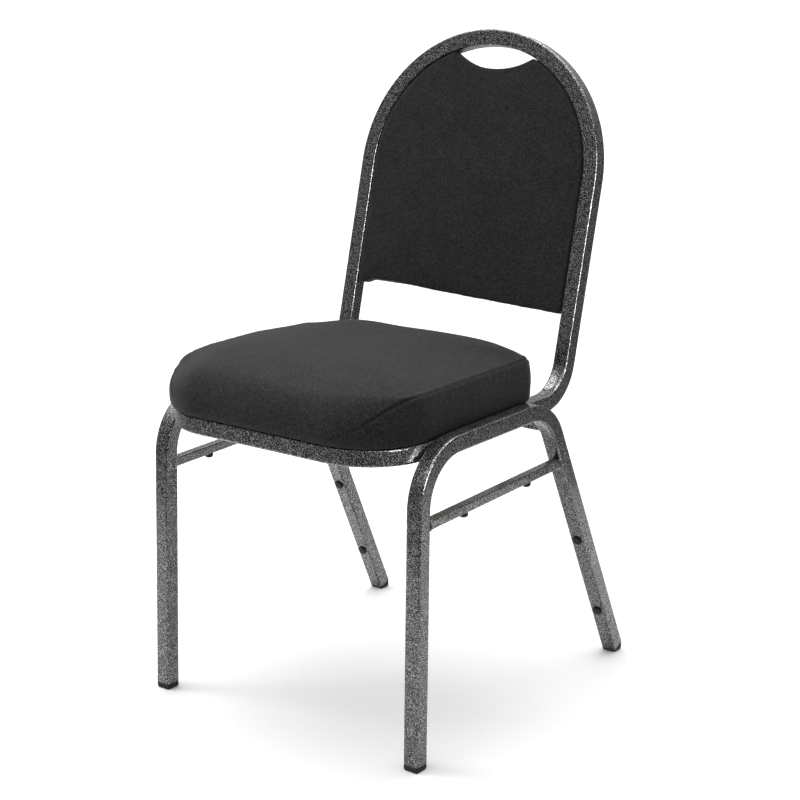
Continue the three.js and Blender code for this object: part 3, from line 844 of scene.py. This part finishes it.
def shell_mesh(rows, centre, thickness):
    """A thin closed shell: rows of points from a free edge to a centre, and a copy set in by its thickness."""
    rows = np.array(rows)
    rings, count = rows.shape[:2]
    outer = np.vstack([rows.reshape(-1, 3), centre])
    tip = rings * count
    faces = domed_faces(rings, count)
    inner = outer - vertex_normals(outer, faces) * thickness
    flipped = [tuple(i + tip + 1 for i in f[::-1]) for f in faces]
    rim = [((j + 1) % count, j, tip + 1 + j, tip + 1 + (j + 1) % count) for j in range(count)]
    return np.vstack([outer, inner]), faces + flipped + rim


def solid_mesh(rows, centre):
    """A closed solid from rows of points, flat across its first row."""
    rows = np.array(rows)
    rings, count = rows.shape[:2]
    verts = np.vstack([rows.reshape(-1, 3), centre, rows[0].mean(axis=0)])
    underside = [((j + 1) % count, j, rings * count + 1) for j in range(count)]
    return verts, domed_faces(rings, count) + underside


def vertex_normals(verts, faces):
    """Outward normals, weighted by the area of the faces round each vertex."""
    normals = np.zeros_like(verts)
    for size, spans in ((3, ((0, 1), (0, 2))), (4, ((0, 2), (1, 3)))):
        group = np.array([f for f in faces if len(f) == size])
        a, b = (verts[group[:, end]] - verts[group[:, start]] for start, end in spans)
        for column in range(size):
            np.add.at(normals, group[:, column], np.cross(a, b))
    return normals / norm(normals, axis=1)[:, None]


RIPPLE_WAVES, RIPPLE_SPREAD = 7, 0.35


def ripple(s, wavelength, seed):
    """A smooth wandering wave round a loop, at evenly spaced distances s along it, about -1..1."""
    rng = np.random.default_rng(seed)
    total = s[-1] + (s[1] - s[0])
    base = total / wavelength
    wave = np.zeros_like(s)
    for k in range(RIPPLE_WAVES):
        cycles = max(1, round(base * (1 + RIPPLE_SPREAD * (k - 3) / 3)))
        wave += rng.uniform(0.5, 1.0) * np.sin(2 * math.pi * (cycles * s / total) + rng.uniform(0, 2 * math.pi))
    return wave / 3


# ---------- seat cushion ----------
SEAT = {
    "half_width": cover_high[0],
    "front_y": cover_low[1],
    "rear_y": cover_high[1],
    "front_r": 95.0,
    "rear_r": 30.0,
    "base_z": RAIL_Z + TUBE / 2 + 0.35,
    "crown_z": 493.0,
    "spacing": 2.8,
    "cloth": 1.2,
    "fold": 30.0,
    "fold_rows": 9,
    "aside": -1.2,
    "foam_inset": 2.4,
}
# each wall, from its fold to its top edge: how far in from the outline, and how far above the rail
SIDE_WALL = [
    (4.6, 0), (2.2, 0.9), (0.2, 3), (-2.1, 9), (-2.6, 20), (-2.9, 32), (-2.2, 43), (-0.6, 53), (1.8, 60.6),
]
FRONT_WALL = [
    (4.6, 0), (2.3, 0.9), (0.0, 3), (-3.4, 8.5), (-4.4, 17), (-3.6, 27), (0.6, 39), (9, 51.5), (21, 61),
]
REAR_WALL = [
    (4.6, 0), (2.4, 0.9), (0.7, 3), (-0.6, 10), (-1.2, 19), (-1.4, 28), (-1.0, 36), (-0.2, 43), (1.6, 49.6),
]
CROWN_POWERS = 4.0, 3.4, 11.5  # side, front, rear: the higher, the flatter the top and the sharper its edge
CROWN_RHOS = 1 - np.concatenate([np.linspace(0.006, 0.2, 24), np.linspace(0.23, 0.985, 22)])
SEAM_DROP = 43.5
SEAM_BELOW = 16  # rows of cover from the fold up to the seam
SEAM_STEPS = [0, 0.9, 1.8, 3.0, 4.6, 6.8, 9.6, 13, 17, 21.5, 26, 31, 36, 41, 46.5, 52, 58, 64, 70.5, 77.5, 85]
SEAM_BEYOND = 18  # rows of cover from the last seam step to near the crown


def seam_height(toward_front):
    """How far the seam runs above the rail; it drops round the front corners, where it ends."""
    turned = np.clip((toward_front - math.radians(12)) / math.radians(57), 0, 1)
    return SIDE_WALL[-1][1] - SEAM_DROP * turned ** 1.6


def crown_rise(x, y):
    """Uneven filling of the cushion's top."""
    to_rear = smoothstep(-190, 30, y)
    middle = 5.6 * np.exp(-((x - 62) / 85) ** 2) + 4.0 * np.exp(-((x + 55) / 50) ** 2)
    firm_corner = 4.6 * smoothstep(55, 178, x) * smoothstep(-10, 55, y)
    return middle * to_rear + firm_corner


SINK = {"front": 6.0, "rear": 9.5, "side": 1.5}


def settled(rows):
    """Lets the cushion's right side sink a little, most at its corners, where the foam has softened."""
    x, y, z = np.moveaxis(rows, -1, 0)
    upper = smoothstep(438, 482, z)
    front = (1 - smoothstep(-185, -110, x)) * (1 - smoothstep(-235, -135, y))
    rear = (1 - smoothstep(-150, -75, x)) * smoothstep(-60, 60, y)
    side = 1 - smoothstep(-195, -120, x)
    sunk = SINK["front"] * front + SINK["rear"] * rear + SINK["side"] * side
    return rows + np.stack([4.5 * front, 2.0 * front, -sunk], axis=-1) * upper[..., None]


def seat_rows(inset=0.0, detail=True):
    """Rows of the cushion's outer surface from its fold under the board to near its crown, and the crown point.

    Row SEAM_BELOW of the ones above the fold follows the seam.
    """
    half, front, rear = SEAT["half_width"], SEAT["front_y"], SEAT["rear_y"]
    corners = [(x + SEAT["aside"], y) for x, y in ((-half, front), (half, front), (half, rear), (-half, rear))]
    radii = [SEAT["front_r"]] * 2 + [SEAT["rear_r"]] * 2
    points, normals = rounded_outline(corners, radii, SEAT["spacing"])
    s = np.arange(len(points)) * SEAT["spacing"]
    toward_front = np.arctan2(-normals[:, 1], np.abs(normals[:, 0]))
    to_front = smoothstep(math.radians(8), math.radians(70), toward_front)
    to_rear = smoothstep(math.radians(18), math.radians(80), -toward_front)
    centre = np.array([0.0, (front + rear) / 2])
    base = SEAT["base_z"]

    walls = [spline(wall, 5) for wall in (SIDE_WALL, FRONT_WALL, REAR_WALL)]
    shares = (1 - to_front - to_rear, to_front, to_rear)
    wall = sum(w[None] * share[:, None, None] for w, share in zip(walls, shares))
    profile = [
        np.column_stack([points - normals * (wall[:, k, :1] + inset), base + wall[:, k, 1] - inset])
        for k in range(wall.shape[1])
    ]
    edge = profile[-1]
    power = smooth_loop(sum(p * share for p, share in zip(CROWN_POWERS, shares)), 400)
    rays = edge[:, :2] - centre
    for rho in CROWN_RHOS:
        flat = centre + rays * rho
        height = SEAT["crown_z"] - inset - edge[:, 2] + crown_rise(flat[:, 0], flat[:, 1])
        height *= 1 - 0.3 * np.abs(flat[:, 0] / half) ** 2.3 * shares[1]
        profile.append(np.column_stack([flat, edge[:, 2] + height * (1 - rho ** power)]))
    profile = np.array(profile)

    length = distances(profile)
    seam_z = base + (seam_height(toward_front) * (1 - to_rear) + REAR_WALL[-1][1] * to_rear) - inset
    rows = np.empty((SEAM_BELOW + len(SEAM_STEPS) + SEAM_BEYOND, len(points), 3))
    for j in range(len(points)):
        seam_at = np.interp(seam_z[j], profile[:len(wall[j]), j, 2], length[:len(wall[j]), j])
        rest = length[-1, j] - seam_at
        below = seam_at * (1 - np.linspace(1, 0, SEAM_BELOW, endpoint=False) ** 1.6)
        above = seam_at + np.array(SEAM_STEPS)
        beyond = seam_at + SEAM_STEPS[-1] + (rest - SEAM_STEPS[-1]) * np.linspace(0, 1, SEAM_BEYOND + 1)[1:]
        at = np.concatenate([below, above, beyond])
        for axis in range(3):
            rows[:, j, axis] = np.interp(at, length[:, j], profile[:, j, axis])
    rows = settled(rows)
    if detail:
        rows = sewn(rows, s, toward_front)
    fold = [
        np.column_stack([points - normals * (share + inset), np.full(len(points), base + 0.15 - inset)])
        for share in np.linspace(SEAT["fold"], 5.0, SEAT["fold_rows"])
    ]
    return fold + list(rows), np.array([*centre, rows[-1][:, 2].mean()])


def surface_normals(rows):
    """Outward normals of a grid of points whose rows are closed loops."""
    along = np.roll(rows, -1, axis=1) - np.roll(rows, 1, axis=1)
    up = np.gradient(rows, axis=0)
    normals = np.cross(along, up)
    return normals / np.maximum(norm(normals, axis=2), 1e-9)[:, :, None]


def sewn(rows, s, toward_front):
    """Adds the seam's groove, the pull of its stitches and the slight waves of stretched cloth."""
    normals = surface_normals(rows)
    strength = 1 - smoothstep(math.radians(50), math.radians(74), toward_front)
    length = distances(rows)
    from_seam = length - length[SEAM_BELOW]
    groove = -1.4 * np.exp(-(from_seam / 1.5) ** 2)
    lips = 0.7 * np.exp(-((np.abs(from_seam) - 4.6) / 2.4) ** 2)
    pull = ripple(s, 13.0, 5) * 0.34 + ripple(s, 31.0, 8) * 0.3
    pull = pull * np.exp(-(np.abs(from_seam) / 9) ** 1.4) * (np.abs(from_seam) > 0.5)
    hem = ripple(s, 22.0, 9) * 0.3 * np.exp(-((length - 4) / 6) ** 2)
    swell = ripple(s, 110.0, 12) * 0.45 * np.exp(-((length - 34) / 24) ** 2)
    crease = corner_creases(s, toward_front, from_seam)
    shift = (groove + lips + pull) * strength + hem + swell + crease
    return rows + normals * shift[:, :, None]


def corner_creases(s, toward_front, from_seam):
    """Short folds that fan out under the seam where it turns down round a front corner."""
    depth = np.zeros_like(from_seam)
    for turn, reach, size in ((24, 26, 0.8), (36, 22, 0.55), (47, 17, 0.4)):
        lean = math.radians(turn) - 0.006 * from_seam
        across = (toward_front - lean) / math.radians(3.2)
        depth -= size * np.exp(-across ** 2) * np.exp(-((from_seam + reach * 0.45) / (reach * 0.5)) ** 2)
    return depth


def build_seat():
    shell = shell_mesh(*seat_rows(), SEAT["cloth"])
    cover = make_piece("seat_cover_cloth", *shell, "black_cloth", ["seat_cover"])
    rows, crown = seat_rows(inset=SEAT["foam_inset"], detail=False)
    board_top = board_high[2] + GAP
    kept = [row for row in rows[SEAT["fold_rows"]:] if row[:, 2].min() > board_top + 0.5]
    floor = kept[0].copy()
    floor[:, 2] = board_top
    foam = make_piece("seat_foam_pad", *solid_mesh([floor] + kept, crown), "foam", ["seat_foam"])


build_seat()


# ---------- back panel ----------
BACK = {
    "half": RAIL_X - TUBE / 2 - 1.2,
    "bottom": 115.5,
    "corner": 10.0,
    "grip_bottom": 436.0,
    "grip_r": 125.0,
    "grip_x": 6.0,
    "front": 13.3,
    "rear": -6.3,
    "edge": 10.8,
    "fold": 12.0,
    "fold_rows": 5,
    "cloth": 1.0,
    "spacing": 2.0,
    "foam_inset": 1.5,
}
PANEL_CENTRE = np.array([0.0, 285.0])


def back_outline(inset=0.0):
    """Evenly spaced points and normals round the panel, in the hoop's plane."""
    half, bottom, r = BACK["half"] - inset, BACK["bottom"] + inset, BACK["corner"]
    grip_r = BACK["grip_r"] + inset
    grip_v = BACK["grip_bottom"] + BACK["grip_r"]
    grip_x, between = BACK["grip_x"], grip_v - DOME_V
    apart = math.hypot(grip_x, between)
    spread = math.acos((half ** 2 - grip_r ** 2 + apart ** 2) / (2 * apart * half))
    upward = math.atan2(between, grip_x)
    tips = [upward - spread, upward + spread]
    seen = [math.atan2(half * math.sin(a) - between, half * math.cos(a) - grip_x) for a in tips]

    def arc(cx, cv, radius, start, stop, count):
        return [(cx + radius * math.cos(a), cv + radius * math.sin(a)) for a in np.linspace(start, stop, count)]

    dense = [(x, bottom) for x in np.linspace(-half + r, half - r, 60)]
    dense += arc(half - r, bottom + r, r, -math.pi / 2, 0, 12)
    dense += arc(0, DOME_V, half, 0, tips[0], 120)
    dense += arc(grip_x, grip_v, grip_r, seen[0], seen[1], 60)
    dense += arc(0, DOME_V, half, tips[1], math.pi, 120)
    dense += arc(-half + r, bottom + r, r, math.pi, 1.5 * math.pi, 12)
    return resample(np.array(dense), BACK["spacing"])


def hem_wave(points):
    """The outline with its bottom edge wandering as a sewn hem does, and how near each point is to it."""
    x = points[:, 0]
    low_edge = 1 - smoothstep(BACK["bottom"] + 2, BACK["bottom"] + 26, points[:, 1])
    tuck, sag = np.exp(-((x + 168) / 13) ** 2), np.exp(-((x + 104) / 36) ** 2)
    wave = 1.0 - 0.032 * x - 7.5 * tuck + 2.0 * sag
    return points + np.column_stack([np.zeros_like(x), wave * low_edge]), low_edge


def back_rows(inset=0.0, detail=True):
    """Rows of the panel's cover, from the fold on its rear to near the middle of its front."""
    points, normals = back_outline()
    soft = smooth_loop(normals, 8)
    s = np.arange(len(points)) * BACK["spacing"]
    points, low_edge = hem_wave(points)
    rear, edge, front = BACK["rear"] + inset, BACK["edge"] - inset, BACK["front"] - inset
    profile = spline([(0.9, rear), (0.1, rear + 1.0), (0.0, rear + 4), (0.0, edge - 4.0), (0.2, edge - 2.2),
                      (0.8, edge - 0.9), (1.9, edge - 0.1), (3.6, edge + 0.5)], 3)
    pucker = ripple(s, 15.0, 21) * 0.22 + ripple(s, 55.0, 22) * 0.3
    rows = []
    for share in np.linspace(BACK["fold"], 2.5, BACK["fold_rows"]):
        rows.append((points - soft * (share + inset), np.full(len(points), rear)))
    for k, (d, w) in enumerate(profile):
        push = pucker * math.sin(math.pi * k / len(profile)) * (0.35 + 0.65 * low_edge) if detail else 0.0
        rows.append((points - soft * (d + inset) + soft * np.reshape(push, (-1, 1)), np.full(len(points), w)))
    rays = rows[-1][0] - PANEL_CENTRE
    for rho in 1 - np.concatenate([[0.02, 0.045], np.linspace(0.075, 0.985, 24)]):
        flat = PANEL_CENTRE + rays * rho
        w = edge + 0.5 + (front + 1.4 - edge) * (1 - rho ** 3.4)
        w = np.full(len(points), w)
        if detail:
            w = w + 0.3 * np.sin(flat[:, 0] / 52 + 0.7) * np.sin(flat[:, 1] / 43) * (1 - rho ** 3)
            w = w + pucker * 0.6 * math.exp(-((1 - rho) / 0.06) ** 2)
        rows.append((flat, w))
    placed = [np.array([on_hoop(x, v, wi) for (x, v), wi in zip(flat, w)]) for flat, w in rows]
    return placed, on_hoop(*PANEL_CENTRE, rows[-1][1].mean())


def build_back():
    shell = shell_mesh(*back_rows(), BACK["cloth"])
    cover = make_piece("back_cover_cloth", *shell, "black_cloth", ["back_cover_front"])
    rows, crown = back_rows(inset=BACK["foam_inset"], detail=False)
    solid = solid_mesh(rows[BACK["fold_rows"] + 4:], crown)
    foam = make_piece("back_foam_pad", *solid, "foam", ["back_foam"])

    points, normals = back_outline(BACK["cloth"])
    points, low_edge = hem_wave(points)
    points[:, 1] += 1.2 * low_edge
    soft = smooth_loop(normals, 8)
    low, high, bulge = -TUBE / 2 - 0.2, BACK["rear"] - 2.4, 0.5
    profile = [(3.0, high), (0.3, high), (0.0, high - 0.8), (0.0, low + 2.0)]
    profile += [(0.4, low + 0.9), (1.3, low + 0.2), (3.0, low)]
    rows = [(points - soft * d, w) for d, w in profile]
    rays = rows[-1][0] - PANEL_CENTRE
    for rho in 1 - np.linspace(0.05, 0.985, 18):
        rows.append((PANEL_CENTRE + rays * rho, low - bulge * (1 - rho ** 3)))
    placed = [np.array([on_hoop(x, v, w) for x, v in flat])[::-1] for flat, w in rows]
    solid = solid_mesh(placed, on_hoop(*PANEL_CENTRE, low - bulge))
    rear = make_piece("back_rear_panel", *solid, "black_cloth", ["back_cover_rear"])


build_back()


# ---------- stage, lights and camera ----------
def stage_material():
    s = Shader("pale_floor")
    tone = s.ramp(s.noise(400.0), [(0.3, 0.585), (0.7, 0.6)])
    s.set(Base_Color=tone, Roughness=0.75, Specular_IOR_Level=0.2)
    return s.material


SWEEP_REACH, FLOOR_REACH = 0.9, 40.0  # metres


def build_floor():
    """A white sweep under the chair, and the rest of the floor, which the gloss of the paint doesn't show."""
    reaches = (SWEEP_REACH, FLOOR_REACH)
    corners = [(x * reach, y * reach, 0) for reach in reaches for x, y in square_corners(1)]
    around = [(i, 4 + i, 4 + (i + 1) % 4, (i + 1) % 4) for i in range(4)]
    pale = stage_material()
    for name, used, faces in (("floor_sweep", 4, [(0, 1, 2, 3)]), ("floor_rest", 8, around)):
        mesh = bpy.data.meshes.new(name)
        mesh.from_pydata(corners[:used], [], faces)
        mesh.materials.append(pale)
        floor = new_object(name, mesh)
        floor.visible_glossy = name == "floor_sweep"


def studio_world():
    """A white tent: brightest overhead, bright behind the chair, dimmer on the camera's side and its right."""
    world = bpy.data.worlds.new("studio")
    world.use_nodes = True
    nodes = Nodes(world.node_tree)
    direction = nodes.node("SeparateXYZ", {0: nodes.node("TexCoord").outputs["Generated"]}).outputs

    def ramp(axis, low, high, to_low, to_high):
        return nodes.map_range(direction[axis], low, high, to_low, to_high, interpolation_type="SMOOTHSTEP")

    # each share of the strength, from one value of an axis to another
    overhead = ramp("Z", 0.5, 0.95, 0.36, 4.8)
    behind = ramp("Y", -0.7, 0.7, 0.9, 1.25)
    leftward = ramp("X", -0.4, 0.7, 1.15, 0.42)
    strength = nodes.times(nodes.times(overhead, behind), leftward)
    background = world.node_tree.nodes["Background"].inputs
    nodes.plug(background["Strength"], strength)
    nodes.plug(background["Color"], (1, 1, 1, 1))
    scene.world = world


def aimed(name, data, place, target):
    """A lamp or camera at a place, looking at a target."""
    item = new_object(name, data)
    item.location = place
    item.rotation_euler = (Vector(target) - Vector(place)).to_track_quat("-Z", "Y").to_euler()
    return item


def area_light(name, place, target, size, power):
    light = bpy.data.lights.new(name, "AREA")
    light.shape = "RECTANGLE"
    light.size, light.size_y = size
    light.energy = power
    return aimed(name, light, place, target)


def shine_on_paint(lamp):
    """Keeps a lamp for the painted tubes, whose corners need something to shine with."""
    tubes = bpy.data.collections.new("painted_tubes")
    for piece in scene.objects:
        if piece.type == "MESH" and MATERIALS["frame_paint"].name in piece.data.materials:
            tubes.objects.link(piece)
    lamp.light_linking.receiver_collection = tubes


build_floor()
studio_world()
key = area_light("key", place=(-2.3, -1.3, 2.3), target=(0, 0, 0.5), size=(1.1, 1.1), power=40)
key.visible_glossy = False
rim = area_light("rim", place=(2.3, -0.7, 1.2), target=(0, 0, 0.6), size=(0.7, 1.2), power=85)
rim.visible_diffuse = False
shine_on_paint(rim)

AZIMUTH, ELEVATION, DISTANCE = math.radians(36.81), math.radians(15.14), 2.5503
TARGET = Vector((-0.00938, 0.03945, 0.38744))
SENSOR_WIDTH, FOCAL_LENGTH = 36.0, 82.93

camera_data = bpy.data.cameras.new("camera")
camera_data.sensor_width = SENSOR_WIDTH
camera_data.lens = FOCAL_LENGTH
towards_camera = Vector((
    math.sin(AZIMUTH) * math.cos(ELEVATION),
    -math.cos(AZIMUTH) * math.cos(ELEVATION),
    math.sin(ELEVATION),
))
scene.camera = aimed("camera", camera_data, TARGET + DISTANCE * towards_camera, TARGET)
scene.view_settings.view_transform = "Standard"
